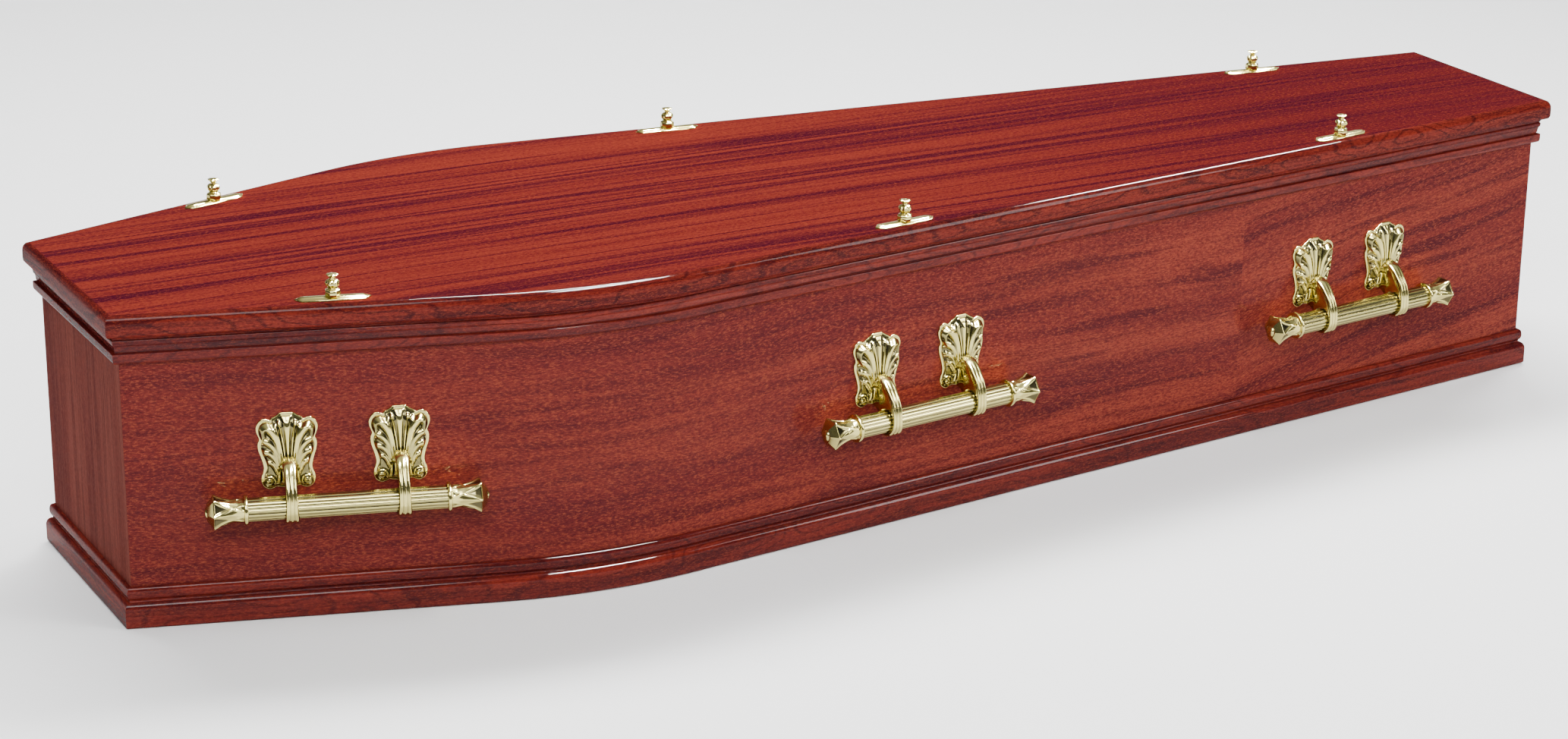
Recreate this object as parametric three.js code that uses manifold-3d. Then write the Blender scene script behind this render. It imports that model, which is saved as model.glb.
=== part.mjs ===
// A wooden coffin: a six-sided box with bent shoulders, a lift-off lid, six bar handles and six
// wreath holders on the lid. Millimetres; X runs from the head end to the foot end, Z is up and
// the box stands on Z = 0. The side at -Y is the right-hand side of someone lying in it face up.
import * as THREE from 'three';
import { mergeVertices } from 'three/addons/utils/BufferGeometryUtils.js';
import Module from 'manifold-3d';

// Plan of the box, measured on the outer faces of the walls
const BOX_LENGTH = 1900;
const HEAD_WIDTH = 270;
const SHOULDER_WIDTH = 560;
const FOOT_WIDTH = 256;
const SHOULDER_FROM_HEAD = 495;
const BEND_RADIUS = 575;
const BEND_STEPS = 7;

// Boards
const WALL_HEIGHT = 343;
const WALL_THICKNESS = 15;
const BASE_THICKNESS = 15;
const LID_THICKNESS = 16;
const LID_BOARD_OVERHANG = 8.5;

// Clearances
const GAP = 0.3;
const MITRE_GAP = 0.2;
const LID_CLEARANCE = 1;

// Lid edge moulding
const LID_MOULDING_PROJECTION = 16;
const LID_MOULDING_DEPTH = 29;
const LID_MOULDING_FLAT = 1;

// Rim moulding, on the walls just under the lid
const RIM_HEIGHT = 27;
const RIM_PROJECTION = 8;

// Plinth moulding, on the walls at the floor
const PLINTH_HEIGHT = 46;
const PLINTH_PROJECTION = 10;
const PLINTH_FACE_HEIGHT = 20;

// Handles: a bar in two shell-shaped brackets, with a fluted cap on each end
const HANDLE_HEIGHT = 138;
const HANDLE_FROM_HEAD_END = 234;
const HANDLE_FROM_SHOULDER = 430;
const HANDLE_FROM_FOOT_END = 313;
const BRACKET_SPACING = 121;
const BAR_STAND_OFF = 30;
const BAR_RADIUS = 13;
const BAR_LENGTH = 214;
const BAR_SIDES = 12;
const CAP_LENGTH = 46;
const CAP_SIDES = 10;
const CAP_FLARE_RADIUS = 18;
const COLLAR_RADIUS = 16.5;
const COLLAR_WIDTH = 4;
const RUNNING_CLEARANCE = 0.3;
const EYE_WALL = 3.2;
const ARM_WIDTH = 14;
const PLATE_RIM = 2.5;
const PLATE_RELIEF = 7;
const FLUTE_DEPTH = 1.8;
const KNUCKLE_HEIGHT = 42;

// Wreath holders: a long six-sided plate and a thumb screw that goes through it into the wall
const HOLDER_LENGTH = 82;
const HOLDER_WIDTH = 17;
const HOLDER_RIM = 1.8;
const HOLDER_THICKNESS = 3.4;
const HOLDER_POINT = 8;
const HOLDER_INSET_FROM_WALL_FACE = 5;
const SCREW_HEIGHT = 25;
const SCREW_RADIUS = 8.5;
const SCREW_SIDES = 8;
const HOLDERS_RIGHT = { head: 228, middle: 410, foot: 333 };
const HOLDERS_LEFT = { head: 235, middle: 340, foot: 249 };

const LID_UNDERSIDE = WALL_HEIGHT + GAP;
const LID_TOP = LID_UNDERSIDE + LID_THICKNESS;
const RIM_TOP = LID_TOP - LID_MOULDING_DEPTH - GAP;

const wasm = await Module();
wasm.setup();

const wallFinish = { color: 0x8a3527, roughness: 0.3, metalness: 0 };
const lidFinish = { color: 0x9c3322, roughness: 0.25, metalness: 0 };
const mouldingFinish = { color: 0x7d2c20, roughness: 0.22, metalness: 0 };
const brassFinish = { color: 0xd9cf9a, roughness: 0.18, metalness: 1 };

const coffin = new THREE.Group();

function addPiece(parent, name, geometry, finish) {
  const piece = new THREE.Mesh(geometry, new THREE.MeshStandardMaterial(finish));
  piece.name = name;
  parent.add(piece);
  return piece;
}

// Closed surfaces

function signedArea(points) {
  return THREE.ShapeUtils.area(points);
}

// Triangles that fill a flat outline, wound the same way as the outline
function fill(outline) {
  const points = outline.map(([u, v]) => new THREE.Vector2(u, v));
  const turn = Math.sign(signedArea(points));
  return THREE.ShapeUtils.triangulateShape(points, []).map(([a, b, c]) => {
    const same = Math.sign(signedArea([points[a], points[b], points[c]])) === turn;
    return same ? [a, b, c] : [a, c, b];
  });
}

function volume(points, triangles) {
  const a = new THREE.Vector3();
  const b = new THREE.Vector3();
  const c = new THREE.Vector3();
  return triangles.reduce((sum, [i, j, k]) => {
    a.fromArray(points[i]);
    b.fromArray(points[j]);
    c.fromArray(points[k]);
    return sum + a.dot(b.cross(c)) / 6;
  }, 0);
}

// A skin over rings of equal count. Both ends are filled, with the flat outline given for them.
function skin(rings, outline) {
  const count = rings[0].length;
  const last = (rings.length - 1) * count;
  const points = rings.flat();
  const triangles = [];
  for (let r = 0; r < last; r += count) {
    for (let k = 0; k < count; k += 1) {
      const next = (k + 1) % count;
      triangles.push([r + k, r + next, r + next + count]);
      triangles.push([r + k, r + next + count, r + k + count]);
    }
  }
  for (const [a, b, c] of fill(outline)) {
    triangles.push([c, b, a]);
    triangles.push([last + a, last + b, last + c]);
  }
  const outward = volume(points, triangles) > 0;
  const geometry = new THREE.BufferGeometry();
  geometry.setAttribute('position', new THREE.Float32BufferAttribute(points.flat(), 3));
  geometry.setIndex(triangles.flatMap(([a, b, c]) => (outward ? [a, b, c] : [a, c, b])));
  geometry.computeVertexNormals();
  return geometry;
}

// Points on a stretch of an ellipse, its first and last point included; angles in degrees
function arc(centreU, centreV, radiusU, radiusV, from, to, steps) {
  return Array.from({ length: steps + 1 }, (_, i) => {
    const angle = THREE.MathUtils.degToRad(from + ((to - from) * i) / steps);
    return [centreU + radiusU * Math.cos(angle), centreV + radiusV * Math.sin(angle)];
  });
}

// Plan of the walls, as lines at an offset outwards from their outer faces

const HEAD_ANGLE = Math.atan2((SHOULDER_WIDTH - HEAD_WIDTH) / 2, SHOULDER_FROM_HEAD);
const FOOT_ANGLE = Math.atan2((SHOULDER_WIDTH - FOOT_WIDTH) / 2, BOX_LENGTH - SHOULDER_FROM_HEAD);
const SHOULDER_X = SHOULDER_FROM_HEAD - BOX_LENGTH / 2;

// The corner where a long side meets an end, at an offset; end is -1 at the head and 1 at the foot
function corner(offset, end) {
  const angle = end < 0 ? HEAD_ANGLE : FOOT_ANGLE;
  const width = end < 0 ? HEAD_WIDTH : FOOT_WIDTH;
  const half = width / 2 + offset / Math.cos(angle) - offset * Math.tan(angle);
  return [end * (BOX_LENGTH / 2 + offset), half];
}

// One long side from head to foot at an offset; side is -1 on the right and 1 on the left
function sideLine(offset, side, trim = 0) {
  const middle = (FOOT_ANGLE - HEAD_ANGLE) / 2;
  const reach = BEND_RADIUS / Math.cos((HEAD_ANGLE + FOOT_ANGLE) / 2);
  const centreX = SHOULDER_X - reach * Math.sin(middle);
  const centreY = SHOULDER_WIDTH / 2 - reach * Math.cos(middle);
  const [headX, headY] = corner(offset, -1);
  const [footX, footY] = corner(offset, 1);
  const line = [[headX + trim * Math.cos(HEAD_ANGLE), headY + trim * Math.sin(HEAD_ANGLE)]];
  for (let i = 0; i <= BEND_STEPS; i += 1) {
    const angle = -HEAD_ANGLE + ((HEAD_ANGLE + FOOT_ANGLE) * i) / BEND_STEPS;
    const radius = BEND_RADIUS + offset;
    line.push([centreX + radius * Math.sin(angle), centreY + radius * Math.cos(angle)]);
  }
  line.push([footX - trim * Math.cos(FOOT_ANGLE), footY + trim * Math.sin(FOOT_ANGLE)]);
  return line.map(([x, y]) => [x, side * y]);
}

// One end from right to left at an offset
function endLine(offset, end, trim) {
  const [x, y] = corner(offset, end);
  return [[x, trim - y], [x, y - trim]];
}

// A profile of [offset, height] points run along a line that depends on the offset
function sweep(profile, lineAt) {
  const lines = profile.map(([offset]) => lineAt(offset));
  const rings = lines[0].map((_, station) => profile.map(([, height], k) => {
    const [x, y] = lines[k][station];
    return [x, y, height];
  }));
  return skin(rings, profile);
}

// A board with the plan of the walls at an offset, between two heights
function planBoard(offset, bottom, top) {
  const outline = [...sideLine(offset, -1), ...sideLine(offset, 1).reverse()];
  const level = (height) => outline.map(([x, y]) => [x, y, height]);
  return skin([level(bottom), level(top)], outline);
}

// Four lengths with one profile, mitred at the corners
function addFourSides(names, profile, finish) {
  const [right, left, head, foot] = names;
  addPiece(coffin, right, sweep(profile, (offset) => sideLine(offset, -1, MITRE_GAP)), finish);
  addPiece(coffin, left, sweep(profile, (offset) => sideLine(offset, 1, MITRE_GAP)), finish);
  addPiece(coffin, head, sweep(profile, (offset) => endLine(offset, -1, MITRE_GAP)), finish);
  addPiece(coffin, foot, sweep(profile, (offset) => endLine(offset, 1, MITRE_GAP)), finish);
}

function namesOf(kind) {
  return ['right', 'left', 'head', 'foot'].map((side) => `${kind}_${side}`);
}

// The box

const wallProfile = [
  [-WALL_THICKNESS, 0],
  [0, 0],
  [0, WALL_HEIGHT],
  [-WALL_THICKNESS, WALL_HEIGHT],
];

// From the floor: an upright face, an ovolo, a quirk and a bead
function plinthProfile() {
  const quirk = 3;
  const quirkHeight = 31;
  const beadHeight = (PLINTH_HEIGHT - quirkHeight) / 2;
  const ovolo = PLINTH_PROJECTION - quirk - 1;
  const ovoloHeight = quirkHeight - PLINTH_FACE_HEIGHT - 2;
  const foot = 2;
  return [
    [GAP, 0],
    [PLINTH_PROJECTION - foot, 0],
    [PLINTH_PROJECTION, foot],
    ...arc(PLINTH_PROJECTION - ovolo, PLINTH_FACE_HEIGHT, ovolo, ovoloHeight, 0, 90, 3),
    [quirk, quirkHeight - 1],
    ...arc(quirk, PLINTH_HEIGHT - beadHeight, 3, beadHeight, -80, 90, 4),
    [GAP, PLINTH_HEIGHT],
  ];
}

// From below: a quarter round, a fillet, a cove and the lip that the lid comes down on
function rimProfile() {
  const bottom = RIM_TOP - RIM_HEIGHT;
  const round = RIM_PROJECTION - 1.5;
  const lip = RIM_PROJECTION - 0.5;
  const cove = 2.5;
  return [
    [GAP, bottom],
    ...arc(RIM_PROJECTION - round, bottom + 8, round, 8, -90, 0, 3),
    [RIM_PROJECTION, bottom + 11],
    ...arc(lip, bottom + 14, cove, 8, 180, 90, 2),
    [lip, RIM_TOP - 2],
    [lip - 2, RIM_TOP],
    [GAP, RIM_TOP],
  ];
}

// From the top: a flat beside the board, a rounded edge, an upright nose, a round and a cove, then
// the rebate that the lid board sits in
function lidProfile() {
  const inner = LID_BOARD_OVERHANG + GAP;
  const flat = inner + LID_MOULDING_FLAT;
  const bottom = LID_TOP - LID_MOULDING_DEPTH;
  const noseTop = LID_TOP - 11;
  const noseFoot = LID_TOP - 19;
  const cove = 5;
  const round = 4;
  return [
    [inner, LID_TOP],
    ...arc(flat, noseTop, LID_MOULDING_PROJECTION - flat, LID_TOP - noseTop, 90, 0, 4),
    ...arc(LID_MOULDING_PROJECTION - round, noseFoot, round, 6, 0, -90, 2),
    ...arc(LID_MOULDING_PROJECTION - round, bottom, cove, noseFoot - 6 - bottom, 90, 180, 2).slice(1),
    [LID_CLEARANCE, bottom],
    [LID_CLEARANCE, LID_UNDERSIDE - GAP],
    [inner, LID_UNDERSIDE - GAP],
  ];
}

addPiece(coffin, 'base_board', planBoard(-WALL_THICKNESS - GAP, 0, BASE_THICKNESS), wallFinish);
addFourSides(['side_board_right', 'side_board_left', 'head_board', 'foot_board'], wallProfile, wallFinish);
addFourSides(namesOf('plinth_moulding'), plinthProfile(), mouldingFinish);
addFourSides(namesOf('rim_moulding'), rimProfile(), mouldingFinish);
addFourSides(namesOf('lid_moulding'), lidProfile(), mouldingFinish);
addPiece(coffin, 'lid_board', planBoard(LID_BOARD_OVERHANG, LID_UNDERSIDE, LID_TOP), lidFinish);

// Joining solids

function toSolid(geometry) {
  const bare = geometry.clone();
  bare.deleteAttribute('normal');
  bare.deleteAttribute('uv');
  const merged = mergeVertices(bare);
  return new wasm.Manifold(new wasm.Mesh({
    numProp: 3,
    vertProperties: merged.attributes.position.array,
    triVerts: new Uint32Array(merged.index.array),
  }));
}

function toGeometry(solid) {
  const mesh = solid.getMesh();
  const geometry = new THREE.BufferGeometry();
  geometry.setAttribute('position', new THREE.BufferAttribute(mesh.vertProperties, 3));
  geometry.setIndex(new THREE.BufferAttribute(mesh.triVerts, 1));
  geometry.computeVertexNormals();
  return geometry;
}

// Handles, in a frame with X along the wall, Y out of the wall and the bar's axis at Z = 0

// Half of the plate's outline, [across, up], from the keystone's corner at the top: a shoulder, the
// upper and lower scrolls, the waist, a volute and the stem
const PLATE_HALF_OUTLINE = [
  [7, 98.5], [16.5, 92.5], [18.5, 90.5],
  [24, 92], [30.5, 88.5], [33, 82], [32, 75], [30, 69],
  [31.8, 62], [29.5, 50], [26.3, 36],
  [29.2, 23], [26.5, 14.5], [20, 11.5],
  [12, 14],
];

// A flat rim, then a raised shell whose flutes run out from the knuckle
function shellPlate() {
  const mirrored = PLATE_HALF_OUTLINE.map(([across, up]) => [-across, up]).reverse();
  const outline = [...PLATE_HALF_OUTLINE, ...mirrored];
  const ring = (share, standOff, flute) => outline.map(([across, up], i) => [
    across * share,
    standOff + (i % 2 === 0 ? flute : -flute),
    KNUCKLE_HEIGHT + (up - KNUCKLE_HEIGHT) * share,
  ]);
  const rings = [
    ring(1, GAP, 0),
    ring(1, PLATE_RIM, 0),
    ring(0.86, PLATE_RIM, 0),
    ring(0.8, PLATE_RELIEF, FLUTE_DEPTH / 2),
    ring(0.25, PLATE_RELIEF + 2, 0),
  ];
  return skin(rings, rings[0].map(([x, , z]) => [x, z]));
}

// Seen from the end of the bar: from the knuckle the arm swells out and down in front of the bar,
// round under it, and its web runs back to the plate
function bracketArm() {
  const eye = BAR_RADIUS + RUNNING_CLEARANCE + EYE_WALL;
  const front = BAR_STAND_OFF + eye;
  const web = [PLATE_RIM / 2, eye];
  const knuckle = [PLATE_RIM / 2, KNUCKLE_HEIGHT + 8];
  const swell = new THREE.CubicBezierCurve(
    new THREE.Vector2(PLATE_RELIEF + 9, KNUCKLE_HEIGHT + 8),
    new THREE.Vector2(BAR_STAND_OFF, KNUCKLE_HEIGHT),
    new THREE.Vector2(front, eye + 6),
    new THREE.Vector2(front, 0),
  ).getPoints(6);
  const outline = [
    ...swell.map((point) => [point.x, point.y]),
    ...arc(BAR_STAND_OFF, 0, eye, eye, 0, -165, 6).slice(1),
    web,
    knuckle,
  ];
  const shape = new THREE.Shape(outline.map(([out, up]) => new THREE.Vector2(out, up)));
  const bore = arc(BAR_STAND_OFF, 0, BAR_RADIUS + RUNNING_CLEARANCE, BAR_RADIUS + RUNNING_CLEARANCE,
    0, 360, BAR_SIDES).slice(1);
  shape.holes.push(new THREE.Path(bore.map(([out, up]) => new THREE.Vector2(out, up))));
  const arm = new THREE.ExtrudeGeometry(shape, { depth: ARM_WIDTH, bevelEnabled: false });
  arm.translate(0, 0, -ARM_WIDTH / 2);
  arm.applyMatrix4(new THREE.Matrix4().makeBasis(
    new THREE.Vector3(0, 1, 0),
    new THREE.Vector3(0, 0, 1),
    new THREE.Vector3(1, 0, 0),
  ));
  return arm;
}

// A round bar whose corners line up with the corners of the bracket's eye
function handleBar() {
  const bar = new THREE.CylinderGeometry(BAR_RADIUS, BAR_RADIUS, BAR_LENGTH, BAR_SIDES);
  bar.rotateY(Math.PI / 2);
  bar.rotateZ(-Math.PI / 2);
  return bar;
}

// A collar, a waisted neck that flares to a rim, and a low dome with a button
function endCap() {
  const profile = [
    [0, 0],
    [COLLAR_RADIUS, 0],
    [COLLAR_RADIUS, COLLAR_WIDTH],
    [BAR_RADIUS, COLLAR_WIDTH + 1],
    [BAR_RADIUS, CAP_LENGTH * 0.4],
    [CAP_FLARE_RADIUS, CAP_LENGTH * 0.8],
    [CAP_FLARE_RADIUS * 0.7, CAP_LENGTH - 2.5],
    [0, CAP_LENGTH],
  ];
  const cap = new THREE.LatheGeometry(profile.map(([r, along]) => new THREE.Vector2(r, along)), CAP_SIDES);
  cap.rotateZ(-Math.PI / 2);
  return cap;
}

const bracket = toGeometry(toSolid(shellPlate()).add(toSolid(bracketArm())));
const bar = handleBar();
const cap = endCap();

// A group at a place along a wall, turned so that its Y points out of the wall
function onWall(side, run, along, offset) {
  const angle = run === 'head' ? HEAD_ANGLE : -FOOT_ANGLE;
  const startX = run === 'head' ? -BOX_LENGTH / 2 : SHOULDER_X;
  const startY = (run === 'head' ? HEAD_WIDTH : SHOULDER_WIDTH) / 2;
  const place = new THREE.Group();
  const x = startX + along * Math.cos(angle) - offset * Math.sin(angle);
  const y = startY + along * Math.sin(angle) + offset * Math.cos(angle);
  place.position.set(x, side * y, 0);
  place.rotation.z = side > 0 ? angle : Math.PI - angle;
  coffin.add(place);
  return place;
}

const FOOT_RUN = (BOX_LENGTH - SHOULDER_FROM_HEAD) / Math.cos(FOOT_ANGLE);
const SIDES = { right: -1, left: 1 };

function addHandle(name, place) {
  place.position.z = HANDLE_HEIGHT;
  [-1, 1].forEach((hand, i) => {
    const casting = addPiece(place, `${name}_bracket_${i + 1}`, bracket, brassFinish);
    casting.position.x = (hand * BRACKET_SPACING) / 2;
    const end = addPiece(place, `${name}_cap_${i + 1}`, cap, brassFinish);
    end.position.set(hand * (BAR_LENGTH / 2 + GAP), BAR_STAND_OFF, 0);
    end.rotation.z = hand > 0 ? 0 : Math.PI;
  });
  addPiece(place, `${name}_bar`, bar, brassFinish).position.y = BAR_STAND_OFF;
}

const HANDLE_PLACES = {
  head: ['head', HANDLE_FROM_HEAD_END],
  middle: ['foot', HANDLE_FROM_SHOULDER],
  foot: ['foot', FOOT_RUN - HANDLE_FROM_FOOT_END],
};

for (const [sideName, side] of Object.entries(SIDES)) {
  for (const [placeName, [run, along]] of Object.entries(HANDLE_PLACES)) {
    addHandle(`handle_${sideName}_${placeName}`, onWall(side, run, along, 0));
  }
}

// Wreath holders, on the lid over the walls

// A long six-sided plate with a raised panel
function holderPlate() {
  const ring = (inset, height) => {
    const half = HOLDER_LENGTH / 2 - inset;
    const flank = half - HOLDER_POINT + inset / 2;
    const depth = HOLDER_WIDTH / 2 - inset;
    return [[half, 0], [flank, depth], [-flank, depth], [-half, 0], [-flank, -depth], [flank, -depth]]
      .map(([x, y]) => [x, y, height]);
  };
  const panelInset = 3;
  const rings = [ring(0, 0), ring(0, HOLDER_RIM), ring(panelInset, HOLDER_THICKNESS)];
  return skin(rings, rings[0].map(([x, y]) => [x, y]));
}

// An eight-sided foot, a round body and a flared crown, in shares of the screw's radius and height
function thumbScrew() {
  const profile = [
    [0, 0],
    [1, 0],
    [1, 0.32],
    [0.62, 0.4],
    [0.94, 0.57],
    [0.82, 0.73],
    [0.4, 0.81],
    [0.72, 0.95],
    [0, 1],
  ];
  const points = profile.map(([r, up]) => new THREE.Vector2(r * SCREW_RADIUS, up * SCREW_HEIGHT));
  const screw = new THREE.LatheGeometry(points, SCREW_SIDES);
  screw.rotateX(Math.PI / 2);
  return screw;
}

const holder = holderPlate();
const screw = thumbScrew();

function addWreathHolder(name, place) {
  place.position.z = LID_TOP + GAP;
  addPiece(place, `${name}_plate`, holder, brassFinish);
  addPiece(place, `${name}_screw`, screw, brassFinish).position.z = HOLDER_THICKNESS + GAP;
}

for (const [sideName, stations] of Object.entries({ right: HOLDERS_RIGHT, left: HOLDERS_LEFT })) {
  const places = {
    head: ['head', stations.head],
    middle: ['foot', stations.middle],
    foot: ['foot', FOOT_RUN - stations.foot],
  };
  for (const [placeName, [run, along]] of Object.entries(places)) {
    const place = onWall(SIDES[sideName], run, along, -HOLDER_INSET_FROM_WALL_FACE);
    addWreathHolder(`wreath_holder_${sideName}_${placeName}`, place);
  }
}

export default coffin;
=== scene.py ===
# %% [markdown]
# # A wooden coffin with bar handles
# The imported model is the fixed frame: every board, moulding and fitting is in it at its real size
# and place. This lesson dresses that frame. It makes smooth mouldings in place of the faceted
# ones, chiselled brass castings in place of the plain ones, and a lacquered mahogany for each
# kind of timber. Lengths are metres. X runs from the head end to the foot end and Z is up.

import math

import bmesh
import bpy
import numpy as np
from mathutils import Matrix, Vector


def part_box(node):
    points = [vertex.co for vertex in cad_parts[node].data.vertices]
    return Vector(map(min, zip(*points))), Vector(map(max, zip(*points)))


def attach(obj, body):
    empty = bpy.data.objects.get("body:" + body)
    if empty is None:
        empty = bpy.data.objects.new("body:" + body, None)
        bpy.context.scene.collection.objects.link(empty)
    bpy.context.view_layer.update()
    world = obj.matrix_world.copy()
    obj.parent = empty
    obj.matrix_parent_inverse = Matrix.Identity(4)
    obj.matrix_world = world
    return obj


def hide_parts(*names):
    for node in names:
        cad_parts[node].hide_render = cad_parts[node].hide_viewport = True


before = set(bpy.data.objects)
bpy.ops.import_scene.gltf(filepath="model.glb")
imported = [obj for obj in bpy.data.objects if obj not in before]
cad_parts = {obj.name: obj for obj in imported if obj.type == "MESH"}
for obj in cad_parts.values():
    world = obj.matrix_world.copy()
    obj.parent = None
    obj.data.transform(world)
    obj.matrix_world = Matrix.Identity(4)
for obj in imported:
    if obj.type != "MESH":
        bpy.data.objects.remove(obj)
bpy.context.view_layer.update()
scene = bpy.context.scene
MM = 0.001

# %% [markdown]
# ## The camera and the studio
# A long lens from well back, a little above the lid and left of the head end, gives the flat
# perspective of a catalogue picture. Its place comes from a target point, two angles and a
# distance, so each of them can be changed by itself. The slight roll is the photographer's.


# %% Camera
def add_object(name, data):
    thing = bpy.data.objects.new(name, data)
    scene.collection.objects.link(thing)
    return thing


TARGET = Vector((-0.0777, 0.0, 0.1128))
AZIMUTH = math.radians(-28.36)
ELEVATION = math.radians(19.65)
ROLL = math.radians(0.585)
DISTANCE = 4.355
LENS = 82.3
SENSOR = 36.0

back = Vector((
    math.sin(AZIMUTH) * math.cos(ELEVATION),
    -math.cos(AZIMUTH) * math.cos(ELEVATION),
    math.sin(ELEVATION),
))
right = Vector((math.cos(AZIMUTH), math.sin(AZIMUTH), 0.0))
up = back.cross(right)
rolled_right = right * math.cos(ROLL) + up * math.sin(ROLL)
rolled_up = up * math.cos(ROLL) - right * math.sin(ROLL)
camera = add_object("camera", bpy.data.cameras.new("camera"))
camera.data.lens = LENS
camera.data.sensor_width = SENSOR
camera.matrix_world = Matrix.Translation(TARGET + back * DISTANCE) @ Matrix(
    (rolled_right, rolled_up, back)
).transposed().to_4x4()
scene.camera = camera
print("camera at", tuple(round(v, 3) for v in camera.location))

# %% [markdown]
# ## Floor and light
# The floor is one pale sheet that curves up behind the coffin, so there is no horizon line. A key
# lamp, a top lamp and a side lamp light it softly. The top lamp doesn't show in gloss, or it would
# lay a pale sheet over the lid's edge. Three oval strips do the opposite: they light no surface and
# are only seen in the lacquer and the brass, where they draw the fine white lines along the
# mouldings. The sky low round the coffin is dark, which gives polished metal its contrast.


# %% Floor
def make_object(name, points, faces, material):
    mesh = bpy.data.meshes.new(name)
    mesh.from_pydata([tuple(p) for p in points], [], [tuple(f) for f in faces])
    mesh.materials.append(material)
    mesh.shade_smooth()
    return add_object(name, mesh)


FLOOR_HALF_WIDTH = 9.0
FLOOR_FRONT = -7.0
SWEEP_START = 4.6
SWEEP_RADIUS = 0.8
SWEEP_STEPS = 16
BACKDROP_TOP = 1.3
FLOOR_DROP = 0.5 * MM

paper = bpy.data.materials.new("studio_paper")
paper.use_nodes = True
paper.node_tree.nodes["Principled BSDF"].inputs["Base Color"].default_value = (0.86, 0.86, 0.86, 1)
paper.node_tree.nodes["Principled BSDF"].inputs["Roughness"].default_value = 0.9
section = [(FLOOR_FRONT, -FLOOR_DROP)]
for step in range(SWEEP_STEPS + 1):
    turn = math.pi / 2 * step / SWEEP_STEPS
    section.append((
        SWEEP_START + SWEEP_RADIUS * math.sin(turn),
        SWEEP_RADIUS * (1 - math.cos(turn)) - FLOOR_DROP,
    ))
section.append((SWEEP_START + SWEEP_RADIUS, BACKDROP_TOP))
corners = [(x, y, z) for y, z in section for x in (-FLOOR_HALF_WIDTH, FLOOR_HALF_WIDTH)]
sheets = [(2 * i, 2 * i + 1, 2 * i + 3, 2 * i + 2) for i in range(len(section) - 1)]
floor = make_object("floor", corners, sheets, paper)


# %% Lamps
def soft_lamp(name, place, aim, width, height, watts):
    lamp = bpy.data.lights.new(name, "AREA")
    lamp.shape = "RECTANGLE"
    lamp.size = width
    lamp.size_y = height
    lamp.energy = watts
    holder = add_object(name, lamp)
    away = Vector(place) - Vector(aim)
    holder.matrix_world = Matrix.Translation(place) @ away.to_track_quat("Z", "Y").to_matrix().to_4x4()
    return holder


soft_lamp("key_lamp", (-2.2, -3.4, 3.2), (0.0, 0.0, 0.2), 2.4, 1.6, 225)
top_lamp = soft_lamp("top_lamp", (0.2, 1.6, 3.4), (0.0, 0.0, 0.3), 3.6, 0.9, 330)
top_lamp.visible_glossy = False
soft_lamp("side_lamp", (3.0, -3.2, 1.9), (0.3, 0.0, 0.2), 1.0, 2.0, 135)

# Each strip lists its name, place, aim, width, height and watts
STRIPS = (
    ("shoulder_strip", (0.5, 1.0, 2.9), (-0.5, -0.25, 0.36), 1.0, 0.5, 1200),
    ("foot_strip", (2.45, 1.0, 2.9), (0.6, -0.2, 0.36), 1.0, 0.5, 1750),
    ("plinth_strip", (0.45, -0.95, 2.9), (-0.4, -0.25, 0.04), 1.6, 0.35, 1500),
)
for strip_values in STRIPS:
    strip = soft_lamp(*strip_values)
    strip.data.shape = "ELLIPSE"
    strip.visible_diffuse = False

world = bpy.data.worlds.new("studio")
scene.world = world
world.use_nodes = True
sky = world.node_tree.nodes["Background"]
way = world.node_tree.nodes.new("ShaderNodeTexCoord")
parts = world.node_tree.nodes.new("ShaderNodeSeparateXYZ")
climb = world.node_tree.nodes.new("ShaderNodeMapRange")
climb.inputs["From Min"].default_value = 0.45
climb.inputs["From Max"].default_value = 0.85
climb.inputs["To Min"].default_value = 0.1
climb.inputs["To Max"].default_value = 0.5
world.node_tree.links.new(way.outputs["Generated"], parts.inputs[0])
world.node_tree.links.new(parts.outputs["Z"], climb.inputs["Value"])
world.node_tree.links.new(climb.outputs["Result"], sky.inputs["Strength"])
sky.inputs["Color"].default_value = (0.95, 0.97, 1.0, 1)
print("floor, three lamps and three strips set")

# %% [markdown]
# ## The plan of the walls
# Seen from above, each long side is a straight run from the head corner, a smooth bend at the
# shoulder and a straight run to the foot corner. Every board and moulding follows that line at
# its own distance out from the wall. All those lines are parallel, so one place and one vector
# at each station describe them all: place + vector x distance. At a mitred corner the vector
# runs along the mitre, which is what makes neighbouring lengths meet cleanly.

# %% Plan
BOX_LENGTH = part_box("foot_board")[1].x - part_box("head_board")[0].x
MITRE_GAP = 0.2 * MM
HEAD_WIDTH = 2 * (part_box("head_board")[1].y + MITRE_GAP)
FOOT_WIDTH = 2 * (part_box("foot_board")[1].y + MITRE_GAP)
SHOULDER_WIDTH = 0.560
SHOULDER_FROM_HEAD = 0.495
BEND_RADIUS = 0.575
BEND_STEPS = 28
HEAD_ANGLE = math.atan2((SHOULDER_WIDTH - HEAD_WIDTH) / 2, SHOULDER_FROM_HEAD)
FOOT_ANGLE = math.atan2((SHOULDER_WIDTH - FOOT_WIDTH) / 2, BOX_LENGTH - SHOULDER_FROM_HEAD)
SHOULDER_X = SHOULDER_FROM_HEAD - BOX_LENGTH / 2
FOOT_RUN = (BOX_LENGTH - SHOULDER_FROM_HEAD) / math.cos(FOOT_ANGLE)
RIGHT, LEFT = -1, 1
HEAD, FOOT = -1, 1


def corner_station(end):
    angle = HEAD_ANGLE if end == HEAD else FOOT_ANGLE
    half = (HEAD_WIDTH if end == HEAD else FOOT_WIDTH) / 2
    place = Vector((end * BOX_LENGTH / 2, half, 0))
    return place, Vector((end, (1 - math.sin(angle)) / math.cos(angle), 0))


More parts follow.
